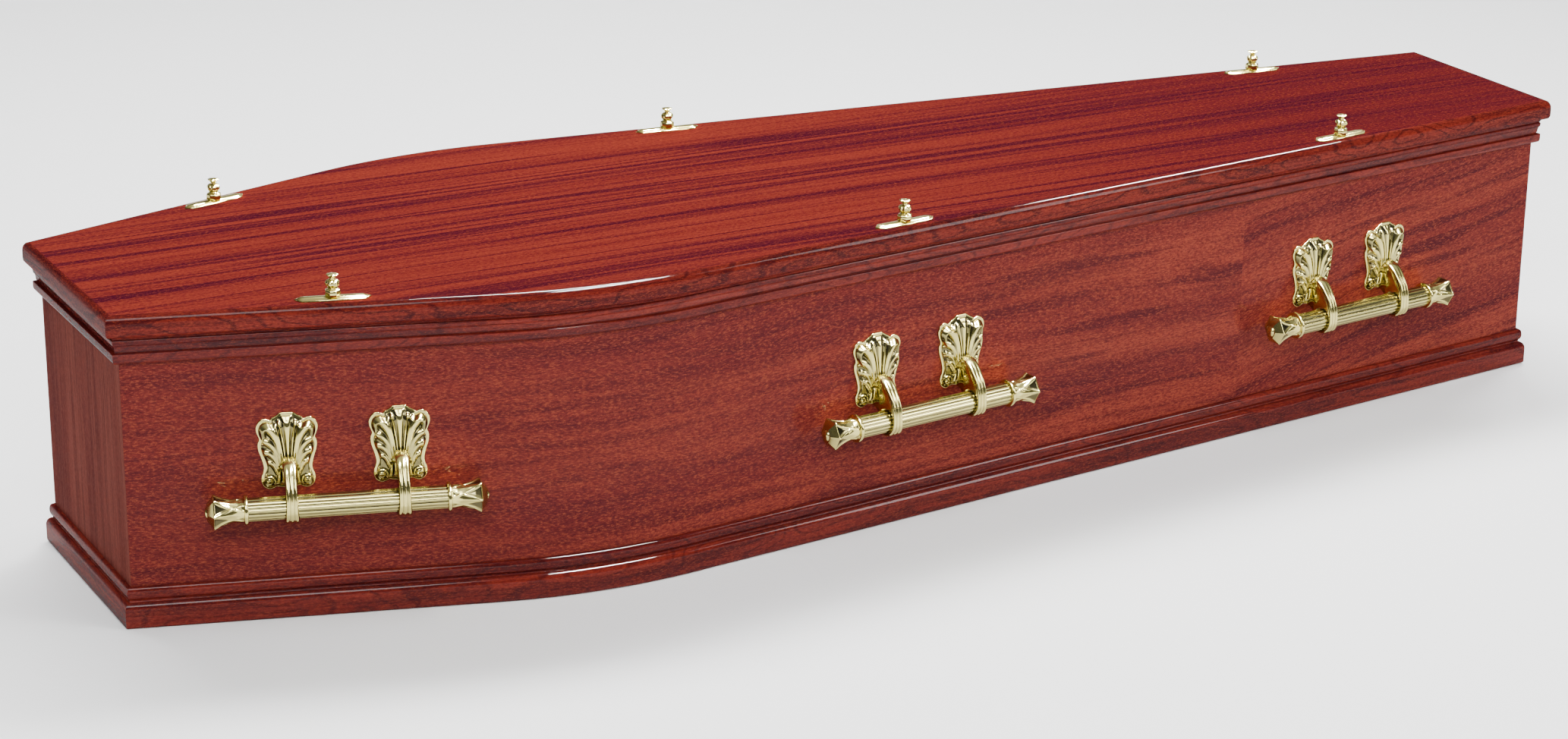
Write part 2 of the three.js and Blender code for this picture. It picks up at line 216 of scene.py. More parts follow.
def side_stations(side):
    middle = (FOOT_ANGLE - HEAD_ANGLE) / 2
    reach = BEND_RADIUS / math.cos((HEAD_ANGLE + FOOT_ANGLE) / 2)
    centre = Vector((
        SHOULDER_X - reach * math.sin(middle),
        SHOULDER_WIDTH / 2 - reach * math.cos(middle),
        0,
    ))
    stations = [corner_station(HEAD)]
    for step in range(BEND_STEPS + 1):
        angle = -HEAD_ANGLE + (HEAD_ANGLE + FOOT_ANGLE) * step / BEND_STEPS
        outward = Vector((math.sin(angle), math.cos(angle), 0))
        stations.append((centre + outward * BEND_RADIUS, outward))
    stations.append(corner_station(FOOT))
    return [(Vector((p.x, side * p.y, 0)), Vector((v.x, side * v.y, 0))) for p, v in stations]


def end_stations(end):
    place, vector = corner_station(end)
    return [
        (Vector((place.x, -place.y, 0)), Vector((vector.x, -vector.y, 0))),
        (place, vector),
    ]


def wall_place(side, run, along, out, height):
    """A matrix whose X runs along the wall, Y points out of it and Z is up."""
    angle = HEAD_ANGLE if run == HEAD else -FOOT_ANGLE
    start = (-BOX_LENGTH / 2, HEAD_WIDTH / 2) if run == HEAD else (SHOULDER_X, SHOULDER_WIDTH / 2)
    outward = Vector((-math.sin(angle), side * math.cos(angle), 0))
    along_wall = outward.cross(Vector((0, 0, 1)))
    point = Vector((
        start[0] + along * math.cos(angle) - out * math.sin(angle),
        side * (start[1] + along * math.sin(angle) + out * math.cos(angle)),
        height,
    ))
    turn = Matrix((along_wall, outward, Vector((0, 0, 1)))).transposed().to_4x4()
    return Matrix.Translation(point) @ turn


print("walls", round(BOX_LENGTH, 4), "long; head run turns", round(math.degrees(HEAD_ANGLE), 2), "degrees")

# %% [markdown]
# ## Mahogany under lacquer
# Ribbon-stripe mahogany has several layers of figure: soft bands, broken dark streaks, long thin
# purple-brown veins, hairlines and short pores. A photograph of veneer would give them all, but
# only in one place and size. Here each layer is a noise stretched along the grain. Bands, streaks
# and pores are where such a noise is high. Veins and hairlines are its contour lines, where it
# passes its middle value: that gives long lines that fork and close up as real ones do. One more
# noise, a slow one, pushes every layer sideways, so that the lines wander together.
#
# Gloss on the wood itself would lay a pale veil over its colour in a bright room. So the wood has
# none, and a thin coat over it, the lacquer, carries the reflections of the lamps. The lid's flat
# top is left without a coat: it looks matt in the picture, and a coat there would mirror the strips.


# %% Node helpers
def add_node(tree, kind, inputs=None, **settings):
    node = tree.nodes.new(kind)
    for key, value in settings.items():
        setattr(node, key, value)
    for socket, value in (inputs or {}).items():
        if isinstance(value, bpy.types.NodeSocket):
            tree.links.new(value, node.inputs[socket])
        else:
            node.inputs[socket].default_value = value
    return node


def math_node(tree, operation, first, second=0.0):
    return add_node(tree, "ShaderNodeMath", {0: first, 1: second}, operation=operation).outputs[0]


def stretched_noise(tree, vector, along, across, seed, detail=2.0, roughness=0.5):
    """Noise with so many features to the metre along the grain and across it."""
    moved = add_node(tree, "ShaderNodeVectorMath", {
        0: vector,
        1: (along, across, across),
        2: (seed, seed * 1.7, seed * 0.3),
    }, operation="MULTIPLY_ADD")
    noise = add_node(tree, "ShaderNodeTexNoise", {
        "Vector": moved.outputs[0],
        "Scale": 1.0,
        "Detail": detail,
        "Roughness": roughness,
    })
    return noise.outputs["Fac"]


def ramp(tree, factor, low, high, start=0.0, end=1.0):
    """Carries low to start and high to end, evenly, and stops there."""
    return add_node(tree, "ShaderNodeMapRange", {
        "Value": factor,
        "From Min": low,
        "From Max": high,
        "To Min": start,
        "To Max": end,
    }, clamp=True).outputs["Result"]


def blend(tree, factor, first, second):
    node = tree.nodes.new("ShaderNodeMix")
    node.data_type = "RGBA"
    for socket, value in ((0, factor), (6, first), (7, second)):
        if isinstance(value, bpy.types.NodeSocket):
            tree.links.new(value, node.inputs[socket])
        else:
            node.inputs[socket].default_value = value
    return node.outputs[2]


# %% Directions of the grain
def grain_axes(tree, grain):
    """Sockets for how far a point lies along the grain, across it and into the wood."""
    if grain == "along the piece":
        vector = add_node(tree, "ShaderNodeAttribute", attribute_name="grain").outputs["Vector"]
    else:
        vector = add_node(tree, "ShaderNodeTexCoord").outputs["Object"]
    x, y, z = add_node(tree, "ShaderNodeSeparateXYZ", {0: vector}).outputs
    return (z, y, x) if grain == "upright" else (x, y, z)


def past_joint(tree, along, across, joint):
    """Past a joint in the veneer the grain slopes another way and shows other figure."""
    past = math_node(tree, "GREATER_THAN", along, joint["at"])
    run = math_node(tree, "SUBTRACT", along, joint["at"])
    slope = math_node(tree, "MULTIPLY", math_node(tree, "MULTIPLY", run, joint["tilt"]), past)
    shift = math_node(tree, "MULTIPLY", past, joint["shift"])
    return math_node(tree, "ADD", math_node(tree, "SUBTRACT", across, slope), shift)


def wandering(tree, along, across, depth, reach):
    """The three ways as one vector, with the lines pushed sideways by a slow noise."""
    straight = add_node(tree, "ShaderNodeCombineXYZ", {0: along, 1: across, 2: depth}).outputs[0]
    slow = stretched_noise(tree, straight, 1.6, 5.0, 3.1)
    push = math_node(tree, "MULTIPLY", math_node(tree, "SUBTRACT", slow, 0.5), reach)
    across = math_node(tree, "ADD", across, push)
    return add_node(tree, "ShaderNodeCombineXYZ", {0: along, 1: across, 2: depth}).outputs[0]


# %% Layers of figure
# Each layer's own seed, so that no two layers line up
SEEDS = {"band": 11.0, "streak": 23.0, "vein": 29.0, "hair": 31.0, "crown": 37.0, "pore": 41.0, "gap": 53.0}


def contour_lines(tree, vector, along, across, seed, width):
    """Thin lines that run where a stretched noise passes through its middle value."""
    field = stretched_noise(tree, vector, along, across, seed, 2.0, 0.4)
    gap = math_node(tree, "ABSOLUTE", math_node(tree, "SUBTRACT", field, 0.5))
    return ramp(tree, gap, width, width * 0.3)


def streaks(tree, flow, lines):
    along, across = lines["along"] * 1.6, lines["across"] * 2
    field = stretched_noise(tree, flow, along, across, SEEDS["streak"], 4.0, 0.6)
    return math_node(tree, "MULTIPLY", ramp(tree, field, 0.53, 0.61), lines["streaks"])


def veins(tree, flow, lines):
    vein = contour_lines(tree, flow, lines["along"], lines["across"], SEEDS["vein"], lines["width"])
    field = stretched_noise(tree, flow, lines["along"], lines["across"] * 0.6, SEEDS["gap"])
    present = ramp(tree, field, 0.38, 0.48)
    return math_node(tree, "MULTIPLY", math_node(tree, "MULTIPLY", vein, present), lines["veins"])


def hairlines(tree, flow, lines):
    hair = contour_lines(tree, flow, lines["along"] * 3, lines["across"] * 4, SEEDS["hair"], 0.05)
    return math_node(tree, "MULTIPLY", hair, lines["hair"])


def crowns(tree, flow, strength):
    """Nested arches, where a moulding cuts through the growth rings."""
    slow = stretched_noise(tree, flow, 7.0, 22.0, SEEDS["crown"], 1.0)
    wave = math_node(tree, "SINE", math_node(tree, "MULTIPLY", slow, 60.0))
    return math_node(tree, "MULTIPLY", ramp(tree, wave, 0.55, 0.98), strength)


# %% Mahogany
def mahogany(name, grain, tones, lines, bands, flecks, figure=0.0, coat=0.2, joint=None, fade=None):
    """grain is 'lengthwise', 'upright' or 'along the piece'; fade deepens the colour on the way."""
    material = bpy.data.materials.new(name)
    material.use_nodes = True
    tree = material.node_tree
    shader = tree.nodes["Principled BSDF"]
    light, deep, line, fleck = [(*tone, 1) for tone in tones]
    along, across, depth = grain_axes(tree, grain)
    growth = 1.0
    if joint:
        across = past_joint(tree, along, across, joint)
        growth = ramp(tree, along, 0.2, 1.7, 0.45, 1.0)
    flow = wandering(tree, along, across, depth, lines["wander"])

    band = stretched_noise(tree, flow, bands["along"], bands["across"], SEEDS["band"], 3.0)
    band = ramp(tree, band, bands["from"], bands["to"])
    if fade:
        later = ramp(tree, along, fade["from"], fade["to"], 0.0, fade["depth"])
        band = math_node(tree, "MAXIMUM", band, later)
    pores = stretched_noise(tree, flow, flecks["along"], flecks["across"], SEEDS["pore"], 3.0, 0.8)
    layers = [
        math_node(tree, "MULTIPLY", streaks(tree, flow, lines), growth),
        veins(tree, flow, lines),
        hairlines(tree, flow, lines),
    ]
    if figure:
        layers.append(crowns(tree, flow, figure))
    layers.append(math_node(tree, "MULTIPLY", ramp(tree, pores, 0.5, 0.64), flecks["dark"]))
    colour = blend(tree, band, light, deep)
    for layer in layers:
        colour = blend(tree, layer, colour, line)
    warm = math_node(tree, "MULTIPLY", ramp(tree, pores, 0.48, 0.34), flecks["light"])
    colour = blend(tree, warm, colour, fleck)

    bump = add_node(tree, "ShaderNodeBump", {"Strength": 0.06, "Distance": 0.0004, "Height": pores})
    tree.links.new(colour, shader.inputs["Base Color"])
    tree.links.new(ramp(tree, pores, 0.0, 1.0, 0.36, 0.5), shader.inputs["Roughness"])
    tree.links.new(bump.outputs[0], shader.inputs["Normal"])
    shader.inputs["Specular IOR Level"].default_value = 0.0
    shader.inputs["Coat Weight"].default_value = coat
    shader.inputs["Coat Roughness"].default_value = 0.05
    return material


# %% Five mahoganies
# Tones are light, deep, line and fleck
LID_TONES = ((0.145, 0.019, 0.0125), (0.080, 0.0085, 0.0095), (0.033, 0.003, 0.0095), (0.23, 0.044, 0.018))
WALL_TONES = ((0.165, 0.027, 0.018), (0.10, 0.014, 0.013), (0.035, 0.005, 0.009), (0.27, 0.06, 0.028))
# End tones are lighter and greyer than the walls': partly the ends' own veneer, partly painted light and
# painted sheen, for boards the lamps light little and that carry almost no gloss
END_TONES = ((0.155, 0.042, 0.031), (0.11, 0.026, 0.021), (0.05, 0.011, 0.012), (0.2, 0.06, 0.042))
MOULDING_TONES = ((0.135, 0.015, 0.010), (0.07, 0.0075, 0.007), (0.016, 0.002, 0.004), (0.22, 0.036, 0.014))
# How far along each side, in metres, two leaves of veneer meet
VENEER_JOINT = 1.438

lid_finish = mahogany(
    "lid_mahogany", "lengthwise", LID_TONES,
    lines={
        "along": 0.55, "across": 44.0, "wander": 0.02,
        "streaks": 0.5, "veins": 0.95, "width": 0.06, "hair": 0.35,
    },
    bands={"along": 0.5, "across": 34.0, "from": 0.45, "to": 0.75},
    flecks={"along": 210.0, "across": 600.0, "dark": 0.6, "light": 0.55},
    coat=0.0,
    fade={"from": -0.1, "to": 0.6, "depth": 1.0},
)
wall_finish = mahogany(
    "wall_mahogany", "along the piece", WALL_TONES,
    lines={
        "along": 2.0, "across": 30.0, "wander": 0.06,
        "streaks": 0.7, "veins": 0.3, "width": 0.05, "hair": 0.25,
    },
    bands={"along": 1.4, "across": 24.0, "from": 0.38, "to": 0.62},
    flecks={"along": 210.0, "across": 600.0, "dark": 0.65, "light": 0.6},
    coat=0.08,
    joint={"at": VENEER_JOINT, "tilt": 0.16, "shift": 3.0},
    fade={"from": 1.0, "to": 0.2, "depth": 0.8},
)
end_finish = mahogany(
    "end_mahogany", "upright", END_TONES,
    lines={
        "along": 1.2, "across": 40.0, "wander": 0.01,
        "streaks": 0.4, "veins": 0.2, "width": 0.06, "hair": 0.3,
    },
    bands={"along": 0.8, "across": 30.0, "from": 0.38, "to": 0.62},
    flecks={"along": 200.0, "across": 700.0, "dark": 0.35, "light": 0.35},
    coat=0.02,
)
MOULDING_LINES = {
    "along": 2.4, "across": 60.0, "wander": 0.006,
    "streaks": 0.4, "veins": 0.3, "width": 0.06, "hair": 0.2,
}
MOULDING_BANDS = {"along": 2.4, "across": 60.0, "from": 0.38, "to": 0.62}
moulding_finish = mahogany(
    "moulding_mahogany", "along the piece", MOULDING_TONES,
    lines=MOULDING_LINES,
    bands=MOULDING_BANDS,
    flecks={"along": 230.0, "across": 640.0, "dark": 0.4, "light": 0.4},
    figure=0.45,
    coat=0.26,
)
lid_edge_finish = mahogany(
    "lid_edge_mahogany", "along the piece", MOULDING_TONES,
    lines=MOULDING_LINES,
    bands=MOULDING_BANDS,
    flecks={"along": 230.0, "across": 640.0, "dark": 0.5, "light": 0.5},
    figure=0.6,
    coat=0.15,
)
print("five mahoganies made")

# %% [markdown]
# ## Pale brass plating
# The fittings are brass plated over a light casting: a cold, greenish gold, very smooth. Painted
# shade darkens their carving, and it stands in for dark reflections too. An occlusion node could
# find the hollows, but it is slow and is lost when the model is exported. So each casting stores a
# painted shade value at each point as an attribute, and the colour darkens with it.


# %% Brass
def brass(name, painted_shade_strength):
    material = bpy.data.materials.new(name)
    material.use_nodes = True
    tree = material.node_tree
    shader = tree.nodes["Principled BSDF"]
    vector = add_node(tree, "ShaderNodeTexCoord").outputs["Object"]
    cloud = stretched_noise(tree, vector, 60.0, 60.0, 5.0, 3.0)
    colour = blend(tree, cloud, (0.61, 0.525, 0.17, 1), (0.71, 0.635, 0.24, 1))
    painted_shade = add_node(tree, "ShaderNodeAttribute", attribute_name="painted_shade").outputs["Fac"]
    shade = math_node(tree, "MULTIPLY", painted_shade, painted_shade_strength)
    # Painted shade: the colour darkens towards this dark olive as the stored shade value rises
    colour = blend(tree, shade, colour, (0.085, 0.072, 0.038, 1))
    tree.links.new(colour, shader.inputs["Base Color"])
    fine = stretched_noise(tree, vector, 900.0, 900.0, 9.0, 2.0)
    tree.links.new(ramp(tree, fine, 0.0, 1.0, 0.1, 0.2), shader.inputs["Roughness"])
    shader.inputs["Metallic"].default_value = 1.0
    return material


brass_finish = brass("plated_brass", 0.9)
print("brass made")


# %% Dressing a piece
def dress(piece, slot, *nodes):
    """The piece rides with the coffin and stands for CAD nodes, which are hidden. slot is not used."""
    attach(piece, "root")
    if nodes:
        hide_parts(*nodes)
    return piece


SHARP = math.radians(38)
SHARP_CASTING = math.radians(70)


def face_outwards(mesh, sharp=SHARP):
    shape = bmesh.new()
    shape.from_mesh(mesh)
    bmesh.ops.recalc_face_normals(shape, faces=shape.faces)
    shape.to_mesh(mesh)
    shape.free()
    mesh.shade_smooth()
    mesh.set_sharp_from_angle(angle=sharp)


# %% [markdown]
# ## Boards and mouldings by one tree
# Each moulding is one profile run along one line of the plan. The tree turns a chain of edges
# (the line) and a closed loop of edges (the profile) into curves, runs one along the other, and
# then puts each point where the plan says: place + vector x distance out, and the profile's
# height. Both chains carry what the tree needs as named attributes. It also writes where each
# point lies along the grain and across it, which the wood reads.


# %% Tree helpers
def new_tree(name, output, *inputs):
    """A Geometry Nodes tree with named inputs, and the node that they come from."""
    tree = bpy.data.node_groups.new(name, "GeometryNodeTree")
    for label, kind in inputs:
        tree.interface.new_socket(label, in_out="INPUT", socket_type="NodeSocket" + kind)
    tree.interface.new_socket(output, in_out="OUTPUT", socket_type="NodeSocketGeometry")
    return tree, tree.nodes.new("NodeGroupInput")


def close_tree(tree, source, geometry):
    """The end of each tree: instances made real, then the finish."""
    real = add_node(tree, "GeometryNodeRealizeInstances", {0: geometry})
    finished = add_node(tree, "GeometryNodeSetMaterial", {
        "Geometry": real.outputs[0],
        "Material": source.outputs["Finish"],
    })
    add_node(tree, "NodeGroupOutput", {0: finished.outputs[0]})
    return tree


def tree_mesh(thing, tree, *helpers, **inputs):
    """The plain mesh that a tree makes of an object, which is deleted with its helpers."""
    modifier = thing.modifiers.new(tree.name, "NODES")
    modifier.node_group = tree
    sockets = {s.name: s.identifier for s in tree.interface.items_tree if s.in_out == "INPUT"}
    for name, value in inputs.items():
        modifier[sockets[name]] = value
    graph = bpy.context.evaluated_depsgraph_get()
    mesh = bpy.data.meshes.new_from_object(thing.evaluated_get(graph))
    for used in (thing, *helpers):
        bpy.data.objects.remove(used)
    return mesh


# %% The run tree
def run_tree():
    tree, source = new_tree(
        "profile_run", "Run", ("Line", "Geometry"), ("Profile", "Object"), ("Finish", "Material")
    )

    def attribute(name, kind):
        return add_node(tree, "GeometryNodeInputNamedAttribute", {"Name": name}, data_type=kind).outputs[0]

    profile = add_node(tree, "GeometryNodeObjectInfo", {"Object": source.outputs["Profile"]})
    line = add_node(tree, "GeometryNodeMeshToCurve", {"Mesh": source.outputs["Line"]})
    loop = add_node(tree, "GeometryNodeMeshToCurve", {"Mesh": profile.outputs["Geometry"]})
    skin = add_node(tree, "GeometryNodeCurveToMesh", {
        "Curve": line.outputs[0],
        "Profile Curve": loop.outputs[0],
        "Fill Caps": True,
    })
    out = add_node(tree, "ShaderNodeVectorMath", {
        0: attribute("mitre", "FLOAT_VECTOR"),
        "Scale": attribute("out", "FLOAT"),
    }, operation="SCALE").outputs[0]
    rise = add_node(tree, "ShaderNodeCombineXYZ", {2: attribute("height", "FLOAT")}).outputs[0]
    start = attribute("place", "FLOAT_VECTOR")
    plan = add_node(tree, "ShaderNodeVectorMath", {0: start, 1: out}).outputs[0]
    place = add_node(tree, "ShaderNodeVectorMath", {0: plan, 1: rise}).outputs[0]
    moved = add_node(tree, "GeometryNodeSetPosition", {"Geometry": skin.outputs[0], "Position": place})
    grain = add_node(tree, "ShaderNodeCombineXYZ", {
        0: attribute("travel", "FLOAT"),
        1: attribute("girth", "FLOAT"),
    }).outputs[0]
    marked = add_node(tree, "GeometryNodeStoreNamedAttribute", {
        "Geometry": moved.outputs[0],
        "Name": "grain",
        "Value": grain,
    }, data_type="FLOAT_VECTOR", domain="POINT")
    return close_tree(tree, source, marked.outputs[0])


def chain(name, points, closed, **attributes):
    """A chain of edges that carries named attributes, floats or vectors, one value a point."""
    count = len(points)
    edges = [(i, (i + 1) % count) for i in range(count if closed else count - 1)]
    mesh = bpy.data.meshes.new(name)
    mesh.from_pydata([tuple(p) for p in points], edges, [])
    for key, values in attributes.items():
        flat = np.array([tuple(v) if hasattr(v, "__len__") else v for v in values], np.float32)
        kind = "FLOAT_VECTOR" if flat.ndim == 2 else "FLOAT"
        layer = mesh.attributes.new(key, kind, "POINT")
        layer.data.foreach_set("vector" if flat.ndim == 2 else "value", flat.ravel())
    return add_object(name, mesh)


def lengths(points):
    total = [0.0]
    for a, b in zip(points, points[1:]):
        total.append(total[-1] + (Vector(b) - Vector(a)).length)
    return total


PROFILE_RUN = run_tree()


def run_profile(name, stations, profile, finish, travel_start=0.0):
    """profile is a closed list of (out, height) points, in metres."""
    places = [place for place, _ in stations]
    line = chain(
        name + "_line", places, False,
        place=places,
        mitre=[vector for _, vector in stations],
        travel=[travel_start + t for t in lengths(places)],
    )
    loop = chain(
        name + "_loop", [(out, height, 0) for out, height in profile], True,
        out=[out for out, _ in profile],
        height=[height for _, height in profile],
        girth=lengths([(out, height, 0) for out, height in profile]),
    )
    mesh = tree_mesh(line, PROFILE_RUN, loop, Profile=loop, Finish=finish)
    mesh.name = name
    for extra in ("place", "mitre", "out", "height", "travel", "girth"):
        if extra in mesh.attributes:
            mesh.attributes.remove(mesh.attributes[extra])
    piece = add_object(name, mesh)
    face_outwards(mesh)
    return piece


# %% [markdown]
# ## Profiles
# A profile starts at the back of the moulding, against the wall, and is drawn in millimetres out
# from the wall and up from the floor. Curved stretches are arcs, and each outer arris is eased
# by a fraction of a millimetre, as sanding and lacquer leave it, so that it takes a highlight.


# %% Profiles
def arc(centre_out, centre_up, radius_out, radius_up, start, end, steps=8):
    """Points on a stretch of an ellipse, in degrees from straight out."""
    turns = [math.radians(start + (end - start) * i / steps) for i in range(steps + 1)]
    return [(centre_out + radius_out * math.cos(t), centre_up + radius_up * math.sin(t)) for t in turns]


WALL_THICKNESS = 15.0
WALL_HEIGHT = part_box("head_board")[1].z / MM
LID_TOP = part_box("lid_board")[1].z / MM
LID_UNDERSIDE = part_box("lid_board")[0].z / MM
PLINTH_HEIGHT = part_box("plinth_moulding_right")[1].z / MM
RIM_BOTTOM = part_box("rim_moulding_right")[0].z / MM
RIM_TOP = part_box("rim_moulding_right")[1].z / MM
LID_MOULDING_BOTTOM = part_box("lid_moulding_right")[0].z / MM
BACK_GAP = 0.05
ARRIS = 0.7

wall_profile = [
    (-WALL_THICKNESS, 0),
    (0, 0),
    (0, WALL_HEIGHT),
    (-WALL_THICKNESS, WALL_HEIGHT),
]
plinth_profile = [
    (BACK_GAP, 0),
    (7.2, 0),
    *arc(7.2, 2.8, 2.8, 2.8, -90, 0, 6),
    *arc(4.0, 20.0, 6.0, 9.0, 0, 84, 12),
    *arc(3.6, 30.3, 0.6, 1.4, 270, 160, 6),
    *arc(3.0, 39.0, 3.0, 7.0, -80, 90, 16),
    (BACK_GAP, PLINTH_HEIGHT),
]
rim_profile = [
    (BACK_GAP, RIM_BOTTOM),
    *arc(4.8, RIM_BOTTOM + 5, 3.2, 5, -90, 0, 10),
    *arc(8.0 - ARRIS, RIM_BOTTOM + 10.6, ARRIS, ARRIS, 0, 90, 3),
    (4.0, RIM_BOTTOM + 11.5),
    (4.0, RIM_BOTTOM + 13.2),
    *arc(7.5, RIM_BOTTOM + 13.4, 2.6, 8, 180, 95, 10),
    *arc(7.5 - ARRIS, RIM_TOP - 3.6, ARRIS, ARRIS, -60, 0, 3),
    *arc(5.5, RIM_TOP - 2.2, 2.0, 2.2, 0, 90, 6),
    (BACK_GAP, RIM_TOP),
]
LID_SEAM = 8.8
lid_profile = [
    (LID_SEAM, LID_TOP),
    *arc(9.5, LID_TOP - 10.5, 6.5, 10.5, 90, 0, 16),
    *arc(12.0, LID_TOP - 19, 4, 5.6, 0, -78, 8),
    *arc(12.4, LID_MOULDING_BOTTOM + 0.3, 5.4, 4.0, 95, 172, 8),
    (6.6, LID_MOULDING_BOTTOM),
    (1.0, LID_MOULDING_BOTTOM),
    (1.0, LID_UNDERSIDE - 0.3),
    (LID_SEAM, LID_UNDERSIDE - 0.3),
]
print("profiles:", len(plinth_profile), len(rim_profile), len(lid_profile), "points")

# %% Boards and mouldings
RUNS = {
    "right": side_stations(RIGHT),
    "left": side_stations(LEFT),
    "head": end_stations(HEAD),
    "foot": end_stations(FOOT),
}
TRAVEL_STARTS = {"right": 0.0, "left": 5.3, "head": 9.1, "foot": 12.7}


def metres(profile):
    return [(out * MM, height * MM) for out, height in profile]


def run_all_round(kind, profile, finish, slot, grain_step):
    for side, stations in RUNS.items():
        name = f"{kind}_{side}"
        start = TRAVEL_STARTS[side] + grain_step
        piece = run_profile(name + "_smooth", stations, metres(profile), finish, start)
        dress(piece, slot, name)


for side in ("right", "left"):
    piece = run_profile(f"side_board_{side}_smooth", RUNS[side], metres(wall_profile), wall_finish)
    dress(piece, "wall_veneer", f"side_board_{side}")
run_all_round("plinth_moulding", plinth_profile, moulding_finish, "moulding_veneer", 0.0)
run_all_round("rim_moulding", rim_profile, moulding_finish, "moulding_veneer", 31.0)
run_all_round("lid_moulding", lid_profile, lid_edge_finish, "moulding_veneer", 57.0)
for name in ("head_board", "foot_board"):
    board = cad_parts[name]
    board.data.materials.clear()
    board.data.materials.append(end_finish)
print("boards and mouldings done")

# %% [markdown]
# ## The lid board
# The lid is one flat board whose outline is the plan at a small overhang. Only its top shows, so
# a plain sheet with true edges is right, and all the interest is in its ribbon-stripe veneer.

# %% Lid board
outline = [place + vector * LID_SEAM * MM for place, vector in RUNS["right"]]
outline += [place + vector * LID_SEAM * MM for place, vector in reversed(RUNS["left"])]
count = len(outline)
levels = [LID_UNDERSIDE * MM, LID_TOP * MM]
lid_points = [(p.x, p.y, z) for z in levels for p in outline]
lid_faces = [tuple(range(count)), tuple(range(count, 2 * count))]
lid_faces += [(i, (i + 1) % count, count + (i + 1) % count, count + i) for i in range(count)]
lid = make_object("lid_board_smooth", lid_points, lid_faces, lid_finish)
face_outwards(lid.data)
dress(lid, "lid_veneer", "lid_board")
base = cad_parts["base_board"]
base.data.materials.clear()
base.data.materials.append(end_finish)
print("lid board:", count, "corners")

# %% [markdown]
# ## The bracket
# Each bracket is one casting: a shell-shaped plate with a flat rim, an arm that swells out of it
# and down in front of the bar, an eye round the bar and a web behind the arm. It could be sculpted
# by hand, but then no size could be changed. Here the plate is a grid of rings round the knuckle,
# where the flutes meet. How far it reaches in each direction is a smooth curve through the points
# of its outline. How far it stands out comes from ten strokes, each a rounded ridge along a curve,
# for the flutes and petals, and from a ring round each volute. All this is drawn in millimetres:
# x across, z up from the bar's axis, and out is the distance from the wall.

# %% Plate outline
KNUCKLE = 42.0
HALF_OUTLINE = (
    (0, 98.6), (4.5, 98.6), (7.2, 98.2), (9.5, 96.4), (13, 94.2), (16.4, 92.4), (17.8, 90.6), (20, 91.0),
    (23.5, 92.2), (27.5, 91.2), (31, 88), (33, 83), (32.8, 77.5), (31, 72.5), (29.9, 69.2), (31.2, 66),
    (31.8, 61.5), (31, 55), (28.8, 48), (27, 41), (26.2, 35.5), (27, 31), (28.6, 27), (29.2, 21.5),
    (27.6, 16), (24, 12.6), (20, 11.4), (16, 12.5), (12.5, 14), (8, 13.2), (4, 12.6), (0, 12.5),
)
PLATE_TURNS = 300
PLATE_RINGS = 52
RIM_WIDTH = 3.9
RIM_OUT = 2.4
WALL_CLEARANCE = 0.3


def plate_reach(turn):
    """How far the outline is from the knuckle, in each direction round it."""
    points = np.array(HALF_OUTLINE, float)
    before = np.vstack([points[1] * (-1, 1), points[:-1]])
    after = np.vstack([points[1:], points[-2] * (-1, 1)])
    dense = []
    for share in np.linspace(0, 1, 6, endpoint=False):
        nearer, further = points[:-1], points[1:]
        start, end = (further - before[:-1]) / 2, (after[1:] - nearer) / 2
        dense.append(
            (2 * share**3 - 3 * share**2 + 1) * nearer
            + (share**3 - 2 * share**2 + share) * start
            + (3 * share**2 - 2 * share**3) * further
            + (share**3 - share**2) * end
        )
    curve = np.stack(dense, axis=1).reshape(-1, 2)
    curve = np.vstack([curve, points[-1:]])
    angle = np.arctan2(curve[:, 0], curve[:, 1] - KNUCKLE)
    radius = np.hypot(curve[:, 0], curve[:, 1] - KNUCKLE)
    order = np.argsort(angle)
    return np.interp(np.abs((turn + math.pi) % (2 * math.pi) - math.pi), angle[order], radius[order])


# %% Relief strokes
def bezier(points, count):
    """Points on a curve through its two ends, pulled by the points between."""
    share = np.linspace(0, 1, count)[:, None]
    points = np.array(points, float)
    degree = len(points) - 1
    total = np.zeros((count, points.shape[1]))
    for i, point in enumerate(points):
        weight = math.comb(degree, i) * share**i * (1 - share) ** (degree - i)
        total += weight * point
    return total


# Each stroke lists (across, up, radius, height) where it starts, is pulled, and ends
STROKES = (
    ((0, 44, 2.0, 6.0), (0, 70, 3.8, 6.4), (0, 92, 6.8, 4.8)),
    ((3.4, 45, 1.5, 7.0), (4.0, 66, 1.9, 7.2), (9.0, 88.5, 2.1, 5.6)),
    ((5.4, 45, 1.5, 6.6), (6.8, 65, 1.9, 6.8), (13.0, 85.5, 2.2, 5.2)),
    (
        (7.6, 43, 2.4, 6.0), (9.5, 66, 5.2, 7.8), (13.0, 88, 9.0, 8.8),
        (30.0, 92, 8.4, 8.2), (26.5, 73, 4.6, 5.0),
    ),
    ((9.6, 41, 2.6, 5.2), (12.5, 60, 6.4, 7.0), (20.0, 73, 7.6, 7.4), (30.5, 66, 4.4, 5.0)),
    ((10.8, 37, 2.8, 4.8), (14.0, 50, 6.2, 6.4), (21.0, 62, 6.8, 6.6), (30.0, 51, 3.6, 4.2)),
    ((11.6, 30, 2.4, 4.2), (14.0, 41, 4.8, 5.4), (20.5, 51, 5.4, 5.6), (26.5, 36, 2.6, 3.2)),
    ((23.8, 40, 1.8, 2.8), (22.5, 34, 2.2, 3.0), (25.2, 28, 2.0, 2.8)),
    ((10.0, 32, 1.8, 4.0), (9.6, 22, 2.4, 4.0), (12.5, 15, 2.6, 3.2)),
    ((5.5, 32, 2.2, 4.2), (5.6, 22, 2.4, 3.8), (6.5, 15, 2.6, 3.2)),
)
BODY_CENTRE = 60.0
BODY_HALF_WIDTH = 27.0
